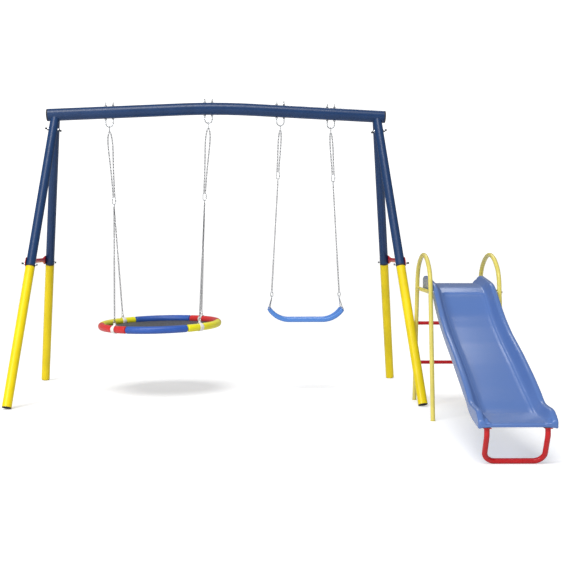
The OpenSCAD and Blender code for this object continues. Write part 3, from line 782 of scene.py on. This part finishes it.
@dataclass
class Saucer:
    """Round padded swing: six stuffed sleeves, a stretched net floor and four sewn straps."""

    frame_r: float = 12.0 * MM
    start_r: float = 22.5 * MM
    full_r: float = 23.9 * MM
    span: float = 59.5
    voxel: float = 5.0 * MM
    pressure: float = 4
    mass: float = 0.2
    stiffness: float = 18
    bending: float = 0.4
    frames: int = 20
    swell: float = 6 * MM
    pinch: float = 1.6 * MM
    pinch_reach: float = 14 * MM
    end_round: float = 5 * MM
    welt_r: float = 1.7 * MM
    welt_at: float = 222
    strap_angles: tuple[float, ...] = (45, 135, 225, 315)
    strap_w: float = 30 * MM
    strap_top_w: float = 17 * MM
    strap_t: float = 1.5 * MM
    net_rings: int = 14
    net_drop: float = 13 * MM
    sag: float = 8 * MM
    sleeves: tuple[tuple[str, float, PadColour], ...] = (
        ("front_right", -30, PadColour.YELLOW), ("rear_right", 30, PadColour.RED),
        ("rear", 90, PadColour.BLUE), ("rear_left", 150, PadColour.YELLOW),
        ("front_left", 210, PadColour.RED), ("front", 270, PadColour.BLUE),
    )

    def __post_init__(self) -> None:
        """Reads the ring's middle, radius and lean from the frame."""
        low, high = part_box("saucer_ring_tube")
        self.middle = (low + high) / 2
        self.ring_r = (high.x - low.x) / 2 - self.frame_r
        offsets = [vertex.co - self.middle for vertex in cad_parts["saucer_ring_tube"].data.vertices]
        slope_x = sum(o.x * o.z for o in offsets) / sum(o.x * o.x for o in offsets)
        slope_y = sum(o.y * o.z for o in offsets) / sum(o.y * o.y for o in offsets)
        turn = Vector((0, 0, 1)).rotation_difference(Vector((-slope_x, -slope_y, 1))).to_matrix().to_4x4()
        self.lean = Matrix.Translation(self.middle) @ turn @ Matrix.Translation(-self.middle)

    def hang(self, piece: bpy.types.Object, smooth: float) -> None:
        """Leans a piece that was built level, as the ring leans, and finishes its mesh.

        Args:
            piece: The mesh object.
            smooth: The largest angle between faces, in degrees, that is shaded smooth.
        """
        piece.matrix_world = self.lean @ piece.matrix_world
        settle(piece, smooth)

    def polar(self, co: Vector) -> tuple[float, float, float]:
        """Gives a point's angle round the saucer, its distance out from the ring and its height over it."""
        flat = co - self.middle
        return math.degrees(math.atan2(flat.y, flat.x)), math.hypot(flat.x, flat.y) - self.ring_r, flat.z

    def point(self, angle: float, out: float, up: float) -> Vector:
        """Gives the point at an angle in degrees, a distance out from the ring and a height over it."""
        turn, reach = math.radians(angle), self.ring_r + out
        return self.middle + Vector((reach * math.cos(turn), reach * math.sin(turn), up))

    def tube(self, angle: float, span: float, radius: float, at: float = 0, out: float = 0,
             sides: int = 20, steps: int = 48) -> bpy.types.Object:
        """Spins a disc round the saucer into a closed bent rod.

        Args:
            angle: Middle of the rod in degrees.
            span: How far round it goes in degrees.
            radius: Radius of the rod.
            at: Direction of its line from the ring's line, in degrees up from outwards.
            out: Distance of its line from the ring's line.
            sides: Sides of its cross-section.
            steps: Steps round the saucer.

        Returns:
            The rod.
        """
        start, rise = angle + span / 2, math.radians(at)
        clear_selection()
        bpy.ops.mesh.primitive_circle_add(
            vertices=sides, radius=radius, fill_type="NGON",
            location=self.point(start, out * math.cos(rise), out * math.sin(rise)),
            rotation=(math.radians(90), 0, math.radians(start)))
        rod = bpy.context.object
        bpy.ops.object.transform_apply(location=True, rotation=True)
        with editing(rod, "FACE"):
            bpy.ops.mesh.select_all(action="SELECT")
            bpy.ops.mesh.spin(steps=steps, angle=math.radians(span), center=self.middle, axis=(0, 0, 1))
        with editing(rod, "EDGE"):
            bpy.ops.mesh.select_non_manifold()
            if any(edge.select for edge in bmesh.from_edit_mesh(rod.data).edges):
                bpy.ops.mesh.edge_face_add()
        clean(rod)
        return rod

    def stuff(self, sleeve: bpy.types.Object) -> None:
        """Blows up a sleeve with a short cloth simulation and keeps it inside its full radius.

        Args:
            sleeve: The slim closed sleeve.
        """
        apply_modifier(sleeve, "REMESH", mode="VOXEL", voxel_size=self.voxel)
        before = [vertex.co.copy() for vertex in sleeve.data.vertices]
        make_active(sleeve)
        cloth = sleeve.modifiers.new("Cloth", "CLOTH")
        cloth.settings.use_pressure = True
        cloth.settings.uniform_pressure_force = self.pressure
        cloth.settings.mass = self.mass
        cloth.settings.tension_stiffness = cloth.settings.compression_stiffness = self.stiffness
        cloth.settings.bending_stiffness = self.bending
        cloth.settings.effector_weights.gravity = 0
        cloth.collision_settings.use_collision = False
        cloth.point_cache.frame_start, cloth.point_cache.frame_end = 1, self.frames
        for number in range(1, self.frames + 1):
            bpy.context.scene.frame_set(number)
        bpy.ops.object.modifier_apply(modifier=cloth.name)
        bpy.context.scene.frame_set(1)
        for vertex, old in zip(sleeve.data.vertices, before):
            moved = vertex.co - old
            if moved.length > self.swell:
                vertex.co = old + moved.normalized() * self.swell
            angle, out, up = self.polar(vertex.co)
            far = math.hypot(out, up)
            if far > self.full_r:
                vertex.co = self.point(angle, out * self.full_r / far, up * self.full_r / far)

    def squeeze(self, sleeve: bpy.types.Object, angle: float) -> None:
        """Brings a sleeve to full girth, draws it in under its strap and rounds its two ends.

        Args:
            sleeve: The sleeve.
            angle: Its middle in degrees.
        """
        girths = [math.hypot(*self.polar(vertex.co)[1:]) for vertex in sleeve.data.vertices]
        plump = self.full_r / sorted(girths)[len(girths) * 2 // 3]

        def move(co: Vector) -> Vector:
            """Gives one point's new place.

            Args:
                co: The point's old place.

            Returns:
                The new one.
            """
            here, out, up = self.polar(co)
            scale = plump
            for strap in self.strap_angles:
                away = abs((here - strap + 180) % 360 - 180) * math.pi / 180 * self.ring_r
                away = max(0.0, away - self.strap_w / 2 + 4 * MM)
                scale -= self.pinch / self.full_r * math.exp(-(away / self.pinch_reach) ** 2)
            end = (self.span / 2 - abs((here - angle + 180) % 360 - 180)) * math.pi / 180 * self.ring_r
            if end < self.end_round:
                scale -= 0.16 * (1 - max(0.0, end) / self.end_round) ** 2
            scale = min(scale, self.full_r / max(math.hypot(out, up), self.frame_r))
            scale -= 0.008 * (1 + math.sin(here * 2.3) * math.sin(here * 0.9 + 1))
            return self.point(here, out * scale, up * scale)

        reshape(sleeve, move)

    def add_sleeves(self) -> None:
        """Makes the six padded sleeves, each with a welted seam along its underside."""
        for name, angle, colour in self.sleeves:
            sleeve = self.tube(angle, self.span, self.start_r)
            self.stuff(sleeve)
            apply_modifier(sleeve, "SMOOTH", factor=0.5, iterations=4)
            apply_modifier(sleeve, "SUBSURF", levels=1)
            self.squeeze(sleeve, angle)
            welt = self.tube(angle, self.span - 1.2, self.welt_r, self.welt_at, self.full_r - 1.3 * MM, 8, 60)
            sleeve = join([sleeve, welt], "saucer_sleeve_" + name)
            self.hang(sleeve, 60)
            finish, slot = colour.value
            place_piece(sleeve, "saucer_sleeve_" + name, "saucer", finish, ["saucer_pad_" + name])

    def add_net(self) -> None:
        """Makes the round net floor, stretched inside the sleeves and a little hollow."""
        radius = self.ring_r - math.sqrt(self.full_r ** 2 - self.net_drop ** 2) + 1.5 * MM
        clear_selection()
        bpy.ops.mesh.primitive_circle_add(vertices=96, radius=radius, fill_type="NGON", location=self.middle)
        net = bpy.context.object
        with editing(net, "FACE"):
            bpy.ops.mesh.select_all(action="SELECT")
            for _ in range(self.net_rings - 1):
                bpy.ops.mesh.inset(thickness=radius / self.net_rings)
        settle(net)

        def sink(co: Vector) -> Vector:
            """Lowers a point, most in the middle, with faint ripples near the rim.

            Args:
                co: A point of the flat net.

            Returns:
                Its lowered place.
            """
            flat = co - self.middle
            share = min(1.0, math.hypot(flat.x, flat.y) / radius)
            ripple = 0.8 * MM * share ** 6 * (1 - share ** 8) * math.sin(24 * math.atan2(flat.y, flat.x))
            return co + Vector((0, 0, ripple - self.net_drop - self.sag * (1 - share ** 2)))

        reshape(net, sink)
        apply_modifier(net, "SOLIDIFY", thickness=1.4 * MM, offset=0)
        self.hang(net, 50)
        place_piece(net, "saucer_net", "saucer", Finish.MAT, ["saucer_mat"])
        ["saucer_sleeve_" + name for name, _, _ in self.sleeves]

    def strap_line(self) -> list[tuple[float, float]]:
        """Gives the loop that a strap follows, as distance out from the ring's line and height over it."""
        level = self.lean.inverted()
        wire_h = min((level @ p).z for p in solids_of("strap_rings")[0]) - self.middle.z + 2 * MM
        pad_r, eye_r, meet = self.full_r + 0.5 * MM, 3.4 * MM, 1.0 * MM
        start = math.degrees(math.acos(pad_r / (wire_h - 8 * MM)))
        line = [(meet, wire_h - 8 * MM)]
        line += [(eye_r * math.cos(a), wire_h + eye_r * math.sin(a))
                 for a in (math.radians(-40 + 260 * k / 8) for k in range(9))]
        line += [(-meet, wire_h - 8 * MM)]
        turn = 360 - 2 * start
        line += [(pad_r * math.cos(a), pad_r * math.sin(a))
                 for a in (math.radians(90 + start + turn * k / 30) for k in range(31))]
        return line + line[:1]

    def add_straps(self) -> None:
        """Makes the four white straps, each looped round a sleeve and up over its ring."""
        line = self.strap_line()
        top = max(up for _, up in line)
        at = self.middle + Vector((self.ring_r, 0, 0))
        spots = [at + Vector((out, 0, up)) for out, up in line]
        clear_selection()
        bpy.ops.mesh.primitive_plane_add(size=self.strap_w, location=spots[0])
        strap = bpy.context.object
        bpy.ops.object.transform_apply(location=True)
        with editing(strap):
            pick(strap, lambda co: co.x < spots[0].x)
            bpy.ops.mesh.delete(type="VERT")
            bpy.ops.mesh.select_all(action="SELECT")
            bpy.ops.transform.translate(value=(-self.strap_w / 2, 0, 0))
            for here, there in zip(spots, spots[1:]):
                bpy.ops.mesh.extrude_edges_move(TRANSFORM_OT_translate={"value": there - here})

        def narrow(co: Vector) -> Vector:
            """Draws the strap in towards its tab.

            Args:
                co: A point of the strap.

            Returns:
                Its place in the tapered strap.
            """
            share = min(1.0, max(0.0, (co.z - self.middle.z - 10 * MM) / (top - 14 * MM)))
            scale = 1 + (self.strap_top_w / self.strap_w - 1) * share
            return Vector((co.x, at.y + (co.y - at.y) * scale, co.z))

        reshape(strap, narrow)
        clean(strap)
        apply_modifier(strap, "SOLIDIFY", thickness=self.strap_t, offset=1)
        apply_modifier(strap, "BEVEL", width=0.5 * MM, segments=2, angle_limit=math.radians(60))
        straps = []
        to, back = Matrix.Translation(self.middle), Matrix.Translation(-self.middle)
        for angle in self.strap_angles:
            straps.append(copy_of(strap, to @ Matrix.Rotation(math.radians(angle), 4, "Z") @ back))
        discard(strap)
        piece = join(straps, "saucer_sewn_straps")
        self.hang(piece, 50)
        place_piece(piece, "saucer_sewn_straps", "saucer", Finish.STRAP, ["saucer_straps"])

    def build(self) -> None:
        """Makes every soft part of the saucer."""
        self.add_sleeves()
        self.add_net()
        self.add_straps()


# ---- Seat ----
@dataclass
class Seat:
    """Curled seat of moulded plastic with thick rolled edges and a barrel at each end for the wire."""

    top: float = 488 * MM
    flat: float = 110 * MM
    bend: float = 150 * MM
    curl: float = 58
    half_w: float = 75 * MM
    barrel_r: float = 7 * MM
    barrel_wall: float = 3.6 * MM
    barrel_in: float = 4 * MM
    rounded: float = 9 * MM
    steps: int = 78
    ribs: int = 5
    rib_r: float = 1.6 * MM
    rib_w: float = 76 * MM
    rib_pitch: float = 18 * MM
    half: tuple[tuple[float, float], ...] = (
        (0, -8), (30, -8), (48, -8.2), (56, -9.5), (59.4, -12.5), (61, -16.5), (63.5, -19.2), (67, -20),
        (71, -19), (74, -16), (75, -12), (75, -6), (75, 0), (74, 4.5), (71, 7.2), (67, 8), (62.5, 7),
        (59, 4.6), (55, 2), (49, 0.5), (42, 0), (21, 0), (0, 0),
    )

    def __post_init__(self) -> None:
        """Reads the seat's middle from the frame."""
        low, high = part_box("swing_seat")
        self.middle = (low + high) / 2

    def spot(self, along: float, across: float, up: float) -> Vector:
        """Bends a point of the flat seat into its curl.

        Args:
            along: Distance from the middle along the top face.
            across: Distance from the middle towards the rear.
            up: Height over the top face.

        Returns:
            The point's place.
        """
        angle = max(0.0, abs(along) - self.flat) / self.bend
        out = min(abs(along), self.flat) + (self.bend - up) * math.sin(angle)
        height = self.bend - (self.bend - up) * math.cos(angle)
        return Vector((self.middle.x + math.copysign(out, along), self.middle.y + across, self.top + height))

    def section(self, along: float, end: float) -> list[Vector]:
        """Gives one cross-section, drawn in where it nears an end of the seat.

        Args:
            along: Distance from the middle along the top face.
            end: Distance from the middle to the end of the seat.

        Returns:
            The section's points.
        """
        left = min(1.0, max(0.0, end - abs(along)) / self.rounded)
        draw = 1 - 0.16 * (1 - left) ** 2
        thin = 1 - 0.62 * (1 - math.sqrt(1 - (1 - left) ** 2))
        half = [(y * MM * draw, (-4 + (z + 4) * thin) * MM) for y, z in self.half]
        mirrored = [(-y, z) for y, z in half[-2:0:-1]]
        return [self.spot(along, y, z) for y, z in half + mirrored]

    def barrel(self, side: int) -> bpy.types.Object:
        """Makes the round barrel that a triangle's wire goes through.

        Args:
            side: -1 for the left end of the seat, 1 for the right.

        Returns:
            The barrel.
        """
        angle = math.radians(self.curl)
        out = self.flat + (self.bend + self.barrel_in) * math.sin(angle)
        height = self.top + self.bend - (self.bend + self.barrel_in) * math.cos(angle)
        clear_selection()
        bpy.ops.mesh.primitive_cylinder_add(
            vertices=28, radius=self.barrel_r, depth=2 * self.half_w - 2 * MM, end_fill_type="NOTHING",
            location=(self.middle.x + side * out, self.middle.y, height), rotation=(math.radians(90), 0, 0))
        barrel = bpy.context.object
        apply_modifier(barrel, "SOLIDIFY", thickness=self.barrel_wall, offset=-1)
        apply_modifier(barrel, "BEVEL", width=0.8 * MM, segments=2, angle_limit=math.radians(50))
        settle(barrel)
        return barrel

    def build(self) -> None:
        """Makes the seat with its barrels and with grip ribs across its middle."""
        end = self.flat + self.bend * math.radians(self.curl)
        spots = [end * (2 * k / self.steps - 1) for k in range(self.steps + 1)]
        spots += [side * (end - gap * MM) for side in (-1, 1) for gap in (0.4, 1.2, 2.4, 4.4)]
        seat = sweep([self.section(along, end) for along in sorted(spots)])
        parts = [seat, self.barrel(-1), self.barrel(1)]
        for number in range(-self.ribs, self.ribs + 1):
            clear_selection()
            bpy.ops.mesh.primitive_cylinder_add(
                vertices=14, radius=self.rib_r, depth=self.rib_w, rotation=(math.radians(90), 0, 0),
                location=(self.middle.x + number * self.rib_pitch, self.middle.y, self.top))
            rib = bpy.context.object
            apply_modifier(rib, "BEVEL", width=0.9 * MM, segments=2, angle_limit=math.radians(50))
            settle(rib)
            parts.append(rib)
        seat = join(parts, "curled_seat")
        settle(seat, 50)
        place_piece(seat, "curled_seat", "seat", Finish.SEAT, ["swing_seat"])


# ---- Chute ----
@dataclass
class Chute:
    """Moulded chute with rolled rims, a sunk panel along its bed and rounded ends."""

    origin: tuple[float, float] = (1257 * MM, 484 * MM)
    turn: float = 2.3
    half_w: float = 178 * MM
    half_bed: float = 125 * MM
    step: float = 12 * MM
    fine_step: float = 1.5 * MM
    panel: tuple[float, float] = (-1935 * MM, -640 * MM)
    panel_depth: float = 6.5 * MM
    panel_edge: float = 12 * MM
    panel_side: tuple[tuple[float, float, float], ...] = (
        (5, 0, 0), (7.5, 0.2, 16), (11, 0.8, 8), (14, 1, 3), (30, 1, 0), (70, 1, 0), (125, 1, 0),
    )
    ends: tuple[tuple[float, float], ...] = ((0.0, 7.0), (1.2, 4.2), (3.2, 2.0), (6.5, 0.5))

    def __post_init__(self) -> None:
        """Reads the heights of the bed, the rims and the underside along the chute from the frame."""
        rows: dict[float, list[Vector]] = {}
        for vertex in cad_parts["slide_chute"].data.vertices:
            spot = self.local(vertex.co)
            rows.setdefault(round(spot.y, 3), []).append(spot)
        self.rows = []
        for y in sorted(rows):
            heights = [spot.z for spot in rows[y] if abs(spot.x) < 2 * MM]
            if heights:
                levels = [spot.z for spot in rows[y]]
                self.rows.append((y, max(heights), max(levels), min(levels), min(heights)))

    def placing(self) -> Matrix:
        """Gives the slide's place in the frame."""
        return Matrix.Translation((*self.origin, 0)) @ Matrix.Rotation(math.radians(-self.turn), 4, "Z")

    def local(self, co: Vector) -> Vector:
        """Gives a point of the frame as seen from the slide's own middle."""
        return self.placing().inverted() @ co

    def world(self, co: Vector) -> Vector:
        """Gives a point of the slide its place in the frame."""
        return self.placing() @ co

    def heights(self, y: float) -> list[float]:
        """Gives the heights of the chute at a station, curved between the rows read.

        Args:
            y: Where along the slide.

        Returns:
            The heights of the bed, the rim, the lowest edge and the underside.
        """
        last = len(self.rows) - 2
        index = max(0, min(last, sum(1 for row in self.rows if row[0] <= y) - 1))
        four = [self.rows[max(0, min(last + 1, index + k))] for k in (-1, 0, 1, 2)]
        t = min(1.0, max(0.0, (y - four[1][0]) / (four[2][0] - four[1][0])))
        found = []
        for column in (1, 2, 3, 4):
            a, b, c, d = (row[column] for row in four)
            found.append(b + 0.5 * t * (c - a + t * (2 * a - 5 * b + 4 * c - d + t * (3 * (b - c) + d - a))))
        return found

    def sunk(self, y: float, inset: float) -> float:
        """Gives how deep the panel is at a station.

        Args:
            y: Where along the slide.
            inset: How far the panel's ends are drawn in.

        Returns:
            The depth.
        """
        low, high = self.panel
        share = min((y - low - inset) / self.panel_edge, (high - inset - y) / self.panel_edge)
        share = min(1.0, max(0.0, share))
        return self.panel_depth * share * share * (3 - 2 * share)

    def section(self, y: float, inset: float) -> list[Vector]:
        """Gives the chute's cross-section at a station.

        Args:
            y: Where along the slide.
            inset: How far the section is drawn in, near the ends.

        Returns:
            The section's points, from the underside round one rim to the bed and back.
        """
        bed, rim, low, under = self.heights(y)
        w, b, mm = self.half_w, self.half_bed, MM
        wall = max(rim - 12 * mm, bed + 4 * mm)
        half = [(0, under), (w - 60 * mm, under), (w - 42 * mm, under), (w - 30 * mm, under - 1.5 * mm),
                (w - 15 * mm, low + 2.4 * mm), (w - 9 * mm, low + 0.5 * mm), (w - 5 * mm, low),
                (w - 2 * mm, low + 1.2 * mm), (w - 0.5 * mm, low + 4 * mm), (w, low + 8 * mm),
                (w, (low + rim) / 2), (w, rim - 10 * mm), (w - 0.8 * mm, rim - 5.5 * mm),
                (w - 3 * mm, rim - 2.2 * mm), (w - 7 * mm, rim - 0.3 * mm), (w - 13 * mm, rim),
                (w - 19 * mm, rim - 0.4 * mm), (w - 24 * mm, rim - 2.2 * mm),
                (w - 27.5 * mm, rim - 6 * mm), (w - 30 * mm, wall),
                (b + 9 * mm, min(bed + 14 * mm, rim - 3 * mm, wall)), (b + 4 * mm, bed + 5.5 * mm),
                (b, bed + 2.2 * mm), (b - 2.5 * mm, bed + 0.7 * mm)]
        for out, share, corner in self.panel_side:
            half.append((b - out * mm, bed - share * self.sunk(y, corner * mm)))
        middle = (bed + low) / 2
        shrink, flatten = 1 - inset / w, max(0.3, 1 - 2 * inset / (bed - low))
        half = [(x * shrink, middle + (z - middle) * flatten) for x, z in half]
        mirrored = [(-x, z) for x, z in half[-2:0:-1]]
        return [self.world(Vector((x, y, z))) for x, z in half + mirrored]

    def build(self) -> None:
        """Makes the chute as one closed shell."""
        front, rear = self.rows[0][0], self.rows[-1][0]
        count = round((rear - front) / self.step)
        spots = [(front + (rear - front) * k / count, 0.0) for k in range(1, count)]
        spots += [(edge + side * k * self.fine_step, 0.0)
                  for edge, side in zip(self.panel, (1, -1)) for k in range(1, 18)]
        spots = [spot for spot in spots if min(spot[0] - front, rear - spot[0]) > 8 * MM]
        spots += [(front + gap * MM, inset * MM) for gap, inset in self.ends]
        spots += [(rear - gap * MM, inset * MM) for gap, inset in self.ends]
        chute = sweep([self.section(y, inset) for y, inset in sorted(set(spots))])
        settle(chute, 42)
        place_piece(chute, "moulded_chute", "frame_and_slide", Finish.CHUTE, ["slide_chute"])


# ---- Surroundings ----
@dataclass
class Studio:
    """Pale floor, soft light and the camera."""

    camera_at: tuple[float, float, float] = (-0.1003, -6.5251, 1.0030)
    turn_right: float = 2.939
    tilt_down: float = 2.378
    lens: float = 70.4
    floor_colour: Colour = (0.85, 0.85, 0.85)
    floor_glow: float = 0.56
    sky_seen: float = 1.6
    sky_light: float = 0.3
    exposure: float = -0.4
    lamps: tuple[tuple[str, tuple[float, ...], tuple[float, ...], float, float], ...] = (
        ("left_lamp", (-4.8, -5.8, 3.4), (0, 0.3, 0.8), 2.2, 290),
        ("rear_lamp", (1.6, 5.6, 5.4), (1.2, -0.4, 0.4), 2.4, 60),
    )
    sun_turn: tuple[float, float, float] = (30, -10, 0)
    sun_power: float = 2.6
    sun_width: float = 34

    def add_camera(self) -> None:
        """Makes the camera that looks along the set from the front."""
        bpy.ops.object.camera_add(
            location=self.camera_at,
            rotation=(math.radians(90 - self.tilt_down), 0, math.radians(-self.turn_right)))
        camera = bpy.context.object
        camera.data.lens = self.lens
        camera.data.clip_end = 200
        bpy.context.scene.camera = camera

    def add_floor(self) -> None:
        """Makes the wide plain floor."""
        bpy.ops.mesh.primitive_plane_add(size=120, location=(0, 0, -0.0005))
        floor = bpy.context.object
        floor.name = "floor"
        n = Nodes("pale_floor")
        n.link(n.ramp(n.noise(2, 2), (0.3, shade(self.floor_colour, 0.995)), (0.7, self.floor_colour)),
               n.shader.inputs["Base Color"])
        n.fix(Roughness=0.85, Specular_IOR_Level=0.1, Emission_Color=(1, 1, 1, 1))
        glow = n.add("MapRange")
        glow.inputs["To Max"].default_value = self.floor_glow
        n.link(n.add("LightPath").outputs["Is Camera Ray"], glow.inputs["Value"])
        n.link(glow.outputs["Result"], n.shader.inputs["Emission Strength"])
        floor.data.materials.append(n.material)

    def add_light(
        self, name: str, at: Sequence[float], aim: Sequence[float], size: float, power: float
    ) -> None:
        """Makes one soft square lamp.

        Args:
            name: The lamp's name.
            at: Where it hangs.
            aim: The point that it faces.
            size: Its side in metres.
            power: Its power in watts.
        """
        bpy.ops.object.light_add(type="AREA", location=at)
        lamp = bpy.context.object
        lamp.name = name
        lamp.data.size = size
        lamp.data.energy = power
        lamp.rotation_euler = (Vector(aim) - Vector(at)).to_track_quat("-Z", "Y").to_euler()

    def add_sun(self) -> None:
        """Makes the broad sun that throws the soft shadows."""
        bpy.ops.object.light_add(type="SUN", rotation=[math.radians(angle) for angle in self.sun_turn])
        sun = bpy.context.object
        sun.name = "high_sun"
        sun.data.energy = self.sun_power
        sun.data.angle = math.radians(self.sun_width)

    def build(self) -> None:
        """Makes the camera, the floor, the lamps and the pale sky."""
        self.add_camera()
        self.add_floor()
        for lamp in self.lamps:
            self.add_light(*lamp)
        self.add_sun()
        world = bpy.data.worlds.new("pale_sky")
        world.use_nodes = True
        sky = world.node_tree.nodes["Background"]
        sky.inputs["Color"].default_value = (1, 1, 1, 1)
        path = world.node_tree.nodes.new("ShaderNodeLightPath")
        strength = world.node_tree.nodes.new("ShaderNodeMapRange")
        strength.inputs["To Min"].default_value = self.sky_light
        strength.inputs["To Max"].default_value = self.sky_seen
        world.node_tree.links.new(path.outputs["Is Camera Ray"], strength.inputs["Value"])
        world.node_tree.links.new(strength.outputs["Result"], sky.inputs["Strength"])
        bpy.context.scene.world = world
        bpy.context.scene.view_settings.view_transform = "Standard"
        bpy.context.scene.view_settings.exposure = self.exposure


def main() -> None:
    """Builds the surroundings and then every sub-assembly in order."""
    logging.basicConfig(level=logging.INFO, format="%(message)s")
    clear_selection()
    for part in (Studio(), CadParts(), Hangers(), Saucer(), Seat(), Chute()):
        part.build()


if __name__ == "__main__":
    main()
